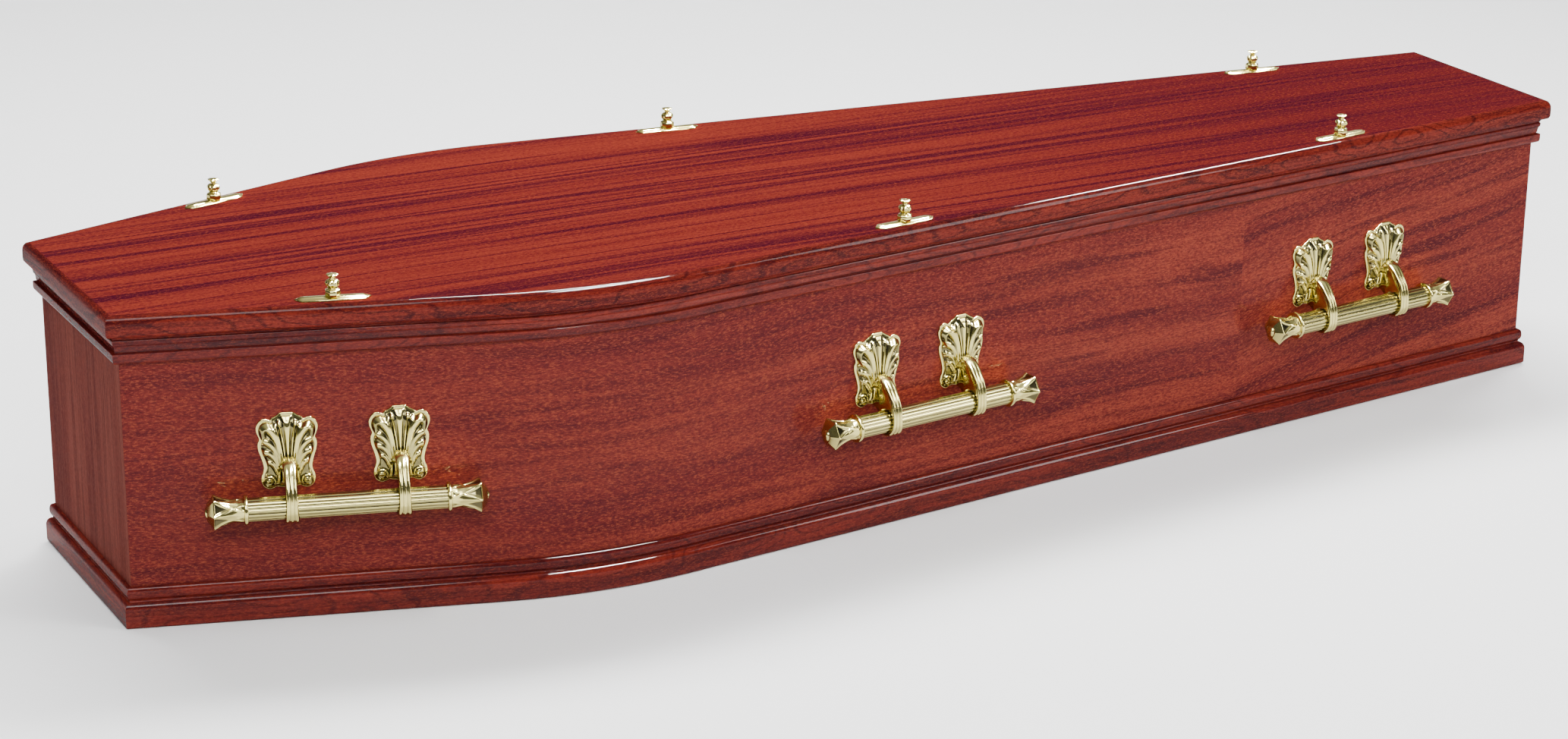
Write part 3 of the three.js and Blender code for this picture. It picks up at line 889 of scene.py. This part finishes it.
BODY_HALF_HEIGHT = 31.0
BODY_RISE = 3.6
SWELL = 1.2
SWELL_CENTRE = 52.0
SWELL_HALF_WIDTH = 40.0
SWELL_HALF_HEIGHT = 48.0
FACET_START = 84.0
FACET_RUN = 9.0
FACET_HALF_WIDTH = 6.5
FACET_CUT = 2.4
VOLUTE = (20.4, 20.8)
VOLUTE_RADIUS = 5.9
VOLUTE_TUBE = 1.6


def stroke_height(stroke, across, height):
    """A rounded ridge along a curve: the height of its nearest cross-section at each point."""
    row = bezier(stroke, 25)
    best = np.zeros_like(across)
    for (x0, z0, r0, h0), (x1, z1, r1, h1) in zip(row, row[1:]):
        span = (x1 - x0) ** 2 + (z1 - z0) ** 2
        share = np.clip(((across - x0) * (x1 - x0) + (height - z0) * (z1 - z0)) / span, 0, 1)
        gap = (across - x0 - share * (x1 - x0)) ** 2 + (height - z0 - share * (z1 - z0)) ** 2
        near = np.clip(1 - gap / (r0 + share * (r1 - r0)) ** 2, 0, None)
        best = np.maximum(best, (h0 + share * (h1 - h0)) * near**0.7)
    return best


def relief(across, height):
    """How far the carving stands out at each point, in millimetres from the wall, and how low it lies, for
    the painted shade.
    """
    across = np.abs(across)
    dome = 1 - ((height - SWELL_CENTRE) / SWELL_HALF_HEIGHT) ** 2 - (across / SWELL_HALF_WIDTH) ** 2
    swell = SWELL * np.clip(dome, 0, 1)
    raised = sum(stroke_height(stroke, across, height) ** 7 for stroke in STROKES) ** (1 / 7)
    body = 1 - (across / BODY_HALF_WIDTH) ** 2 - ((height - BODY_CENTRE) / BODY_HALF_HEIGHT) ** 2
    raised = np.maximum(raised, BODY_RISE * np.clip(body * 2.5, 0, 1) ** 0.5)
    facet = np.clip((height - FACET_START) / FACET_RUN, 0, 1) * np.clip(1 - across / FACET_HALF_WIDTH, 0, 1)
    raised = raised - FACET_CUT * facet
    from_eye = np.hypot(across - VOLUTE[0], height - VOLUTE[1])
    tube = 1 - ((from_eye - VOLUTE_RADIUS) / VOLUTE_TUBE) ** 2
    raised = np.maximum(raised, 3.4 * np.clip(tube, 0, None) ** 0.6)
    bowl = np.clip(1 - from_eye / (VOLUTE_RADIUS - 0.6), 0, 1) > 0
    raised = np.where(bowl, 0.0, raised)
    deep = np.clip(1.1 - raised / 4.2, 0, 1)
    return RIM_OUT + 0.3 + swell + raised, deep


# %% The shell plate
class Shells:
    """Closed shells gathered into one mesh, with a painted shade value for each point."""

    def __init__(self):
        self.points, self.faces, self.painted_shade = [], [], []
        self.count = 0

    def loft(self, rings, painted_shade=None):
        """A skin over rings of points, closed at both ends."""
        turns = len(rings[0])
        start = self.count
        for index, ring in enumerate(rings):
            self.points.append(np.asarray(ring, float))
            self.painted_shade.append(np.zeros(turns) if painted_shade is None else np.asarray(painted_shade[index]))
        self.count += turns * len(rings)
        last = start + turns * (len(rings) - 1)
        for row in range(start, last, turns):
            for k in range(turns):
                after = (k + 1) % turns
                self.faces.append((row + k, row + after, row + turns + after, row + turns + k))
        self.faces.append(tuple(range(start, start + turns)))
        self.faces.append(tuple(range(last, last + turns)))

    def points_array(self):
        return np.concatenate(self.points)

    def piece(self, name, matrix, finish):
        """The gathered shells at a place, drawn in millimetres and put down in metres."""
        flat = self.points_array() * MM
        turned = flat @ np.array(matrix.to_3x3()).T + np.array(matrix.translation)
        thing = make_object(name, turned, self.faces, finish)
        # The painted shade values go onto the mesh for the brass to darken with
        layer = thing.data.attributes.new("painted_shade", "FLOAT", "POINT")
        layer.data.foreach_set("value", np.concatenate(self.painted_shade).astype(np.float32))
        face_outwards(thing.data, SHARP_CASTING)
        return thing


VALLEY_REACH = 7
PAINTED_SHADE_BASE = 0.5
PAINTED_SHADE_PER_VALLEY = 1.15


def add_plate(shells):
    turns = np.linspace(0, 2 * math.pi, PLATE_TURNS, endpoint=False)
    reach = plate_reach(turns)
    rings, painted_shade = [], []

    def ring(distance, out, deep):
        rings.append(np.stack([
            distance * np.sin(turns),
            np.broadcast_to(out, turns.shape),
            KNUCKLE + distance * np.cos(turns),
        ], axis=1))
        painted_shade.append(np.broadcast_to(deep, turns.shape))

    ring(reach, WALL_CLEARANCE, 0.0)
    ring(reach, RIM_OUT - 0.7, 0.0)
    ring(reach - 0.25, RIM_OUT - 0.2, 0.0)
    ring(reach - 0.8, RIM_OUT, 0.0)
    # Painted shade: half on the inner edge of the rim, none on the rim itself
    ring(reach - RIM_WIDTH, RIM_OUT, 0.5)
    for share in np.linspace(1, 0.02, PLATE_RINGS):
        distance = (reach - RIM_WIDTH - 0.15) * share
        out, deep = relief(distance * np.sin(turns), KNUCKLE + distance * np.cos(turns))
        around = sum(np.roll(out, step) for step in range(-VALLEY_REACH, VALLEY_REACH + 1))
        valley = around / (2 * VALLEY_REACH + 1) - out
        edge = np.clip((1 - share) * 9, 0, 1)
        # Painted shade on the carving: a base amount everywhere, more in the valleys between flutes and
        # where it lies low, less on ridges
        shade = np.clip(PAINTED_SHADE_BASE + PAINTED_SHADE_PER_VALLEY * valley + 0.4 * deep, 0, 1)
        ring(distance, RIM_OUT + (out - RIM_OUT) * (0.35 + 0.65 * edge), shade)
    shells.loft(rings, painted_shade)


# %% The arm, its eye and its web
BAR_OUT = 30.0
BAR_RADIUS = 13.0
EYE_INSIDE = BAR_RADIUS + 0.3
EYE_OUTSIDE = EYE_INSIDE + 3.2
ARM_STEPS = 22
EYE_STEPS = 40
ARM_ACROSS = 26
ARM_REEDS = 3
ARM_THICKNESS = 3.1
REEDS_START = 5
REEDS_FADE_IN = 6


def arm_line():
    """Points (out, up) on the arm's front face, the way out of it, and its width there."""
    front = BAR_OUT + EYE_OUTSIDE
    swell = bezier(((13.0, 49.0), (23.0, 47.0), (38.0, 38.0), (front + 1, 22.0), (front, 0.0)), ARM_STEPS)
    widths = np.interp(np.linspace(0, 1, ARM_STEPS), (0, 0.15, 0.6, 1), (13.0, 16.0, 12.5, 13.0))
    turns = np.radians(np.linspace(0, -200, EYE_STEPS))[1:]
    eye = np.stack([BAR_OUT + EYE_OUTSIDE * np.cos(turns), EYE_OUTSIDE * np.sin(turns)], axis=1)
    eye_widths = np.interp(np.degrees(-turns), (0, 55, 110, 200), (13.0, 16.5, 17.0, 12.0))
    line = np.concatenate([swell, eye])
    step = np.gradient(line, axis=0)
    step /= np.linalg.norm(step, axis=1)[:, None]
    outward = np.stack([-step[:, 1], step[:, 0]], axis=1)
    return line, outward, np.concatenate([widths, eye_widths])


def add_arm(shells):
    line, outward, widths = arm_line()
    if outward[ARM_STEPS // 2] @ np.array([1.0, 0.5]) < 0:
        outward = -outward
    share = np.linspace(-1, 1, ARM_ACROSS)
    reed = np.abs(np.cos(share * math.pi * ARM_REEDS / 2))
    shoulder = np.clip((1 - np.abs(share)) * 7, 0, 1) ** 0.5
    bulge = np.sqrt(1 - 0.96 * share**2)
    rings, painted_shade = [], []
    for index, ((out, height), (way_out, way_up), width) in enumerate(zip(line, outward, widths)):
        thick = ARM_THICKNESS if index else 1.0
        reeded = min(max((index - REEDS_START) / REEDS_FADE_IN, 0.0), 1.0)
        front = (1.2 * reed * shoulder - 0.9 * (1 - shoulder)) * reeded + 2.6 * bulge * (1 - reeded)
        across = share * width / 2
        face = np.stack([across, out + way_out * front, height + way_up * front], axis=1)
        inner = [
            (width / 2 * 0.9, out - way_out * thick, height - way_up * thick),
            (-width / 2 * 0.9, out - way_out * thick, height - way_up * thick),
        ]
        rings.append(np.concatenate([face, inner]))
        # Painted shade in the grooves between the reeds, and half shade on the arm's back
        painted_shade.append(np.concatenate([np.clip(1 - reed * 2.2, 0, 1) * 0.8 * reeded, [0.5, 0.5]]))
    shells.loft(rings, painted_shade)


def add_web(shells):
    """The plate behind the arm, from the shell to the eye, its sides bevelled a little."""
    line, _, _ = arm_line()
    behind = [(out - 2.5, height - 2.0) for out, height in line[2:ARM_STEPS:3]]
    outline = [
        (2.0, KNUCKLE + 3),
        *behind,
        *[(BAR_OUT + 14.8 * math.cos(t), 14.8 * math.sin(t)) for t in np.radians(np.linspace(35, 165, 10))],
        *[tuple(p) for p in bezier(((15.0, 4.0), (10.5, 11.0), (2.0, 12.5)), 8)],
    ]
    outline = np.array(outline)
    middle = outline.mean(axis=0)
    rings = []
    for across, inset in ((-5.0, 0.9), (-4.3, 1.0), (4.3, 1.0), (5.0, 0.9)):
        shrunk = middle + (outline - middle) * (inset if inset == 1.0 else 0.97)
        rings.append(np.column_stack([np.full(len(outline), across), shrunk]))
    shells.loft(rings)


def add_collar(shells):
    """The raised brow over the knuckle, where the flutes pass into the arm."""
    half = ((8.6, 5.5, 40.0), (7.0, 15.5, 46.5))
    arch = [(-x, y, z) for x, y, z in half] + [(0.0, 20.0, 51.5)] + list(reversed(half))
    path = bezier(arch, 24)
    sizes = 1.3 + 0.9 * np.sin(np.linspace(0, math.pi, len(path)))
    rings = []
    for index, (point, size) in enumerate(zip(path, sizes)):
        step = path[min(index + 1, len(path) - 1)] - path[max(index - 1, 0)]
        step /= np.linalg.norm(step)
        side = np.cross(step, (0.0, 0.3, 1.0))
        side /= np.linalg.norm(side)
        lift = np.cross(side, step)
        rings.append([
            point + size * (math.cos(t) * side + math.sin(t) * lift)
            for t in np.linspace(0, 2 * math.pi, 12, endpoint=False)
        ])
    shells.loft(rings)


bracket_shells = Shells()
add_plate(bracket_shells)
add_arm(bracket_shells)
add_web(bracket_shells)
add_collar(bracket_shells)
print("bracket:", bracket_shells.count, "points")

# %% [markdown]
# ## The bar and its caps
# The bar is a reeded tube. Each cap starts with a thin collar, narrows to a waist and flares to a
# six-sided rim with a low faceted end and a button. Six pointed leaves run from the collar to
# the rim. Both are rings of points whose radius depends on the turn, so the leaves are a formula.

# %% Bar and cap
REEDS = 16
REED_DEPTH = 0.7
REED_POINTS = 8
BAR_LENGTH = 214.0
CAP_LENGTH = 46.0
CAP_LEAVES = 6
CAP_TURNS = 96
CAP_FLARE = 18.6
COLLAR_RADIUS = 16.5
COLLAR_WIDTH = 4.0


def add_bar(shells):
    turns = np.linspace(0, 2 * math.pi, REEDS * REED_POINTS, endpoint=False)
    radius = BAR_RADIUS - REED_DEPTH * (1 - np.abs(np.sin(turns * REEDS / 2)))
    ring = np.stack([np.zeros_like(turns), radius * np.cos(turns), radius * np.sin(turns)], axis=1)
    # Painted shade in the grooves between the reeds
    painted_shade = np.clip(1.2 - np.abs(np.sin(turns * REEDS / 2)) * 1.1, 0, 1)
    shells.loft([ring + (x, BAR_OUT, 0) for x in (-BAR_LENGTH / 2, BAR_LENGTH / 2)], [painted_shade, painted_shade])


CAP_CROSSING = 0.36
CAP_RIM_SHARE = 0.76


def cap_radius(share, turn):
    """Radius at a share of the way from the collar to the tip and how sunk it is, for each turn."""
    way = min(share / CAP_RIM_SHARE, 1.0)
    waist = np.interp(way, (0, 0.2, 0.5, 0.8, 1), (12.9, 12.3, 13.4, 16.2, CAP_FLARE))
    from_middle = np.abs((turn * CAP_LEAVES / (2 * math.pi)) % 1 - 0.5) * 2
    flat = math.cos(math.pi / CAP_LEAVES) / np.cos(from_middle * math.pi / CAP_LEAVES)
    hexagon = np.clip((way - 0.25) / 0.5, 0, 1)
    shape = waist * (1 + (flat - 1) * hexagon)
    crossing = abs(way - CAP_CROSSING) / (1 - CAP_CROSSING)
    ridge = np.exp(-(((from_middle - crossing) / 0.16) ** 2))
    panel = np.clip((crossing - from_middle) / 0.3, 0, 1)
    cut = min(way / 0.12, 1.0)
    return shape + cut * (0.75 * ridge - 0.9 * panel), cut * np.clip(panel - ridge, 0, 1)


def add_cap(shells, hand):
    turns = np.linspace(0, 2 * math.pi, CAP_TURNS, endpoint=False)
    plain = np.zeros_like(turns)
    rows = [(0.0, plain + COLLAR_RADIUS - 0.8, plain)]
    for angle in np.radians(np.linspace(60, -60, 5)):
        rows.append((
            COLLAR_WIDTH / 2 * (1 - math.sin(angle)),
            plain + COLLAR_RADIUS - 0.8 + 0.8 * math.cos(angle),
            plain,
        ))
    rows.append((COLLAR_WIDTH, plain + COLLAR_RADIUS - 1.0, plain))
    for share in np.linspace(0.01, CAP_RIM_SHARE, 32):
        radius, sunk = cap_radius(share, turns)
        rows.append((COLLAR_WIDTH + share * (CAP_LENGTH - COLLAR_WIDTH), radius, sunk))
    from_middle = np.abs((turns * CAP_LEAVES / (2 * math.pi)) % 1 - 0.5) * 2
    rim = CAP_FLARE * math.cos(math.pi / CAP_LEAVES) / np.cos(from_middle * math.pi / CAP_LEAVES)
    end = COLLAR_WIDTH + CAP_RIM_SHARE * (CAP_LENGTH - COLLAR_WIDTH)
    # Painted shade on the inner part of the end face
    for share, shrink in ((0.03, 1.0), (0.07, 0.985), (0.1, 0.95), (0.72, 0.5), (0.74, 0.46), (0.70, 0.42)):
        rows.append((end + share * (CAP_LENGTH - end), rim * shrink, plain + 0.3 * (shrink < 0.9)))
    button = rim.mean() * 0.38
    for angle in np.radians((0, 30, 55, 75, 86)):
        rows.append((CAP_LENGTH - 2.4 + 2.4 * math.sin(angle), plain + button * math.cos(angle), plain))
    start = BAR_LENGTH / 2 + 0.3
    rings = [
        np.stack([plain + hand * (start + x), BAR_OUT + r * np.cos(turns), r * np.sin(turns)], axis=1)
        for x, r, _ in rows
    ]
    # The sunk value is used as painted shade: the sunk panels between the leaves are darkened
    shells.loft(rings, [sunk for _, _, sunk in rows])


# The two brackets and caps of a handle, and which way along the wall each one lies
HANDS = ((1, -1), (2, 1))
bar_shells = Shells()
add_bar(bar_shells)
cap_shells = {}
for number, hand in HANDS:
    cap_shells[number] = Shells()
    add_cap(cap_shells[number], hand)
print("bar:", bar_shells.count, "points; cap:", cap_shells[1].count, "points")

# %% Handles in their places
HANDLE_HEIGHT = 0.138
BRACKET_SPACING = 0.121
HANDLE_STATIONS = {
    "head": (HEAD, 0.234),
    "middle": (FOOT, 0.430),
    "foot": (FOOT, FOOT_RUN - 0.313),
}
SIDES = {"right": RIGHT, "left": LEFT}
bracket_places = []
for side_name, side in SIDES.items():
    for place_name, (run, along) in HANDLE_STATIONS.items():
        handle = f"handle_{side_name}_{place_name}"
        centre = wall_place(side, run, along, 0.0, HANDLE_HEIGHT)
        for number, hand in HANDS:
            at = centre @ Matrix.Translation((hand * BRACKET_SPACING / 2, 0, 0))
            bracket_places.append(at)
            casting = bracket_shells.piece(f"{handle}_bracket_{number}_cast", at, brass_finish)
            dress(casting, "brassed_fittings", f"{handle}_bracket_{number}")
            cap = cap_shells[number].piece(f"{handle}_cap_{number}_cast", centre, brass_finish)
            dress(cap, "brassed_fittings", f"{handle}_cap_{number}")
        bar = bar_shells.piece(f"{handle}_bar_reeded", centre, brass_finish)
        dress(bar, "brassed_fittings", f"{handle}_bar")
print("handles:", len(bracket_places), "brackets")

# %% [markdown]
# ## Wreath holders
# Each holder is a long plate with pointed ends and a raised panel, and a thumb screw like a
# small finial: an eight-sided foot, a lobed body and a flared crown.

# %% Holder plate and thumb screw
HOLDER_LENGTH = 82.0
HOLDER_WIDTH = 17.0
HOLDER_POINT = 8.0
HOLDER_THICKNESS = 3.4
SCREW_HEIGHT = 25.0
SCREW_TURNS = 96
GAP = 0.3


def add_holder_plate(shells):
    def ring(inset, height):
        half = HOLDER_LENGTH / 2 - inset
        flank = half - HOLDER_POINT + inset / 2
        depth = HOLDER_WIDTH / 2 - inset
        near = [(half, 0), (flank, depth), (-flank, depth)]
        return [(sign * x, sign * y, height) for sign in (1, -1) for x, y in near]

    rim = ((0, 0.0), (0, 1.3), (0.5, 1.8), (2.2, 1.9))
    panel = ((2.6, 1.7), (3.0, 2.1), (4.4, 3.1), (5.4, HOLDER_THICKNESS))
    shells.loft([ring(inset, height) for inset, height in rim + panel])


def add_thumb_screw(shells):
    turns = np.linspace(0, 2 * math.pi, SCREW_TURNS, endpoint=False)
    octagon = np.cos(math.pi / 8) / np.cos((turns + math.pi / 8) % (math.pi / 4) - math.pi / 8)
    lobes = 1 - 0.16 * (1 - np.abs(np.cos(turns * 3)))
    petals = 1 + 0.10 * np.cos(turns * 8)
    round_ = np.ones_like(turns)
    foot = ((0.0, 8.2), (0.4, 8.6), (7.6, 8.6), (8.8, 7.9), (9.6, 6.2))
    neck = ((10.2, 5.2), (11.0, 4.8), (11.8, 5.6))
    rows = [(height, radius, octagon) for height, radius in foot]
    rows += [(height, radius, round_) for height, radius in neck]
    for angle in np.radians(np.linspace(-58, 66, 16)):
        rows.append((17.6 + 6.2 * math.sin(angle), 8.0 * math.cos(angle), lobes))
    rows += [(23.6, 3.2, round_), (24.3, 2.9, round_), (25.2, 3.3, round_)]
    for share in np.linspace(0, 1, 8):
        rows.append((25.6 + 3.6 * share, 3.5 + 2.6 * share**1.4, 1 + (petals - 1) * share))
    rows += [(29.8, 5.8, petals), (30.2, 4.2, petals), (30.5, 2.4, round_), (31.0, 0.8, round_)]
    scale = SCREW_HEIGHT / rows[-1][0]
    rings = []
    for height, radius, shape in rows:
        reach = radius * shape
        up_here = np.full_like(turns, HOLDER_THICKNESS + GAP + height * scale)
        rings.append(np.stack([reach * np.cos(turns), reach * np.sin(turns), up_here], axis=1))
    shells.loft(rings)


plate_shells = Shells()
add_holder_plate(plate_shells)
screw_shells = Shells()
add_thumb_screw(screw_shells)

HOLDER_IN = 0.005
HOLDER_STATIONS = {
    "right": {"head": (HEAD, 0.228), "middle": (FOOT, 0.410), "foot": (FOOT, FOOT_RUN - 0.333)},
    "left": {"head": (HEAD, 0.235), "middle": (FOOT, 0.340), "foot": (FOOT, FOOT_RUN - 0.249)},
}
for side_name, stations in HOLDER_STATIONS.items():
    for place_name, (run, along) in stations.items():
        holder = f"wreath_holder_{side_name}_{place_name}"
        at = wall_place(SIDES[side_name], run, along, -HOLDER_IN, (LID_TOP + 0.1) * MM)
        plate = plate_shells.piece(f"{holder}_plate_cast", at, brass_finish)
        dress(plate, "brassed_fittings", f"{holder}_plate")
        screw = screw_shells.piece(f"{holder}_screw_cast", at, brass_finish)
        dress(screw, "brassed_fittings", f"{holder}_screw")
print("wreath holders:", sum(len(stations) for stations in HOLDER_STATIONS.values()))

# %% [markdown]
# ## Screws in the volutes
# A cross-head screw sits in the eye of each volute, two to a bracket. The same head repeats, so
# one tree puts an instance on every point of a small cloud and turns it to face out of the wall.

# %% Screw heads
SCREW_HEAD_RADIUS = 3.3
SCREW_HEAD_DOME = 1.3
SCREW_HEAD_DEPTH = 2.0
SLOT_HALF_LENGTH = 1.9
SLOT_HALF_WIDTH = 0.45
SLOT_DEPTH = 0.9


def screw_head():
    shells = Shells()
    turns = np.linspace(0, 2 * math.pi, 48, endpoint=False)
    rings, painted_shade = [], []
    for radius in (SCREW_HEAD_RADIUS, *np.linspace(SCREW_HEAD_RADIUS, 0.1, 14)):
        x, y = radius * np.cos(turns), radius * np.sin(turns)
        dome = SCREW_HEAD_DOME * math.sqrt(1 - 0.9 * (radius / SCREW_HEAD_RADIUS) ** 2)
        arm = (np.abs(x) < SLOT_HALF_WIDTH) & (np.abs(y) < SLOT_HALF_LENGTH)
        cross = arm | ((np.abs(y) < SLOT_HALF_WIDTH) & (np.abs(x) < SLOT_HALF_LENGTH))
        height = dome - np.where(cross, SLOT_DEPTH, 0.0)
        if not rings:
            height = np.full_like(turns, -SCREW_HEAD_DEPTH)
        rings.append(np.stack([x, y, height], axis=1))
        # Painted shade in the cross slot
        painted_shade.append(np.where(cross, 1.0, 0.0))
    shells.loft(rings, painted_shade)
    return shells.piece("screw_head", Matrix.Identity(4), brass_finish)


def scatter_tree():
    tree, source = new_tree(
        "screws_on_points", "Screws", ("Points", "Geometry"), ("Head", "Object"), ("Finish", "Material")
    )
    head = add_node(tree, "GeometryNodeObjectInfo", {"Object": source.outputs["Head"], "As Instance": True})
    facing = add_node(tree, "GeometryNodeInputNamedAttribute", {"Name": "facing"}, data_type="FLOAT_VECTOR")
    twist = add_node(tree, "FunctionNodeRandomValue", {"Seed": 7}, data_type="FLOAT")
    twist.inputs[3].default_value = 2 * math.pi
    aim = add_node(tree, "FunctionNodeAlignRotationToVector", {"Vector": facing.outputs[0]}, axis="Z")
    spin = add_node(tree, "FunctionNodeAxisAngleToRotation", {"Angle": twist.outputs[1]})
    turn = add_node(tree, "FunctionNodeRotateRotation", {
        0: aim.outputs[0],
        1: spin.outputs[0],
    }, rotation_space="LOCAL")
    placed = add_node(tree, "GeometryNodeInstanceOnPoints", {
        "Points": source.outputs["Points"],
        "Instance": head.outputs["Geometry"],
        "Rotation": turn.outputs[0],
    })
    return close_tree(tree, source, placed.outputs[0])


eyes, facings = [], []
for at in bracket_places:
    for hand in (-1, 1):
        eyes.append(at @ (Vector((hand * VOLUTE[0], RIM_OUT + 2.6, VOLUTE[1])) * MM))
        facings.append(at.to_3x3() @ Vector((0, 1, 0)))
cloud = chain("screw_points", eyes, False, facing=facings)
head = screw_head()
screw_mesh = tree_mesh(cloud, scatter_tree(), head, Head=head, Finish=brass_finish)
bracket_screws = add_object("bracket_screws", screw_mesh)
face_outwards(screw_mesh)
dress(bracket_screws, "brassed_fittings")
print("screws:", len(eyes))
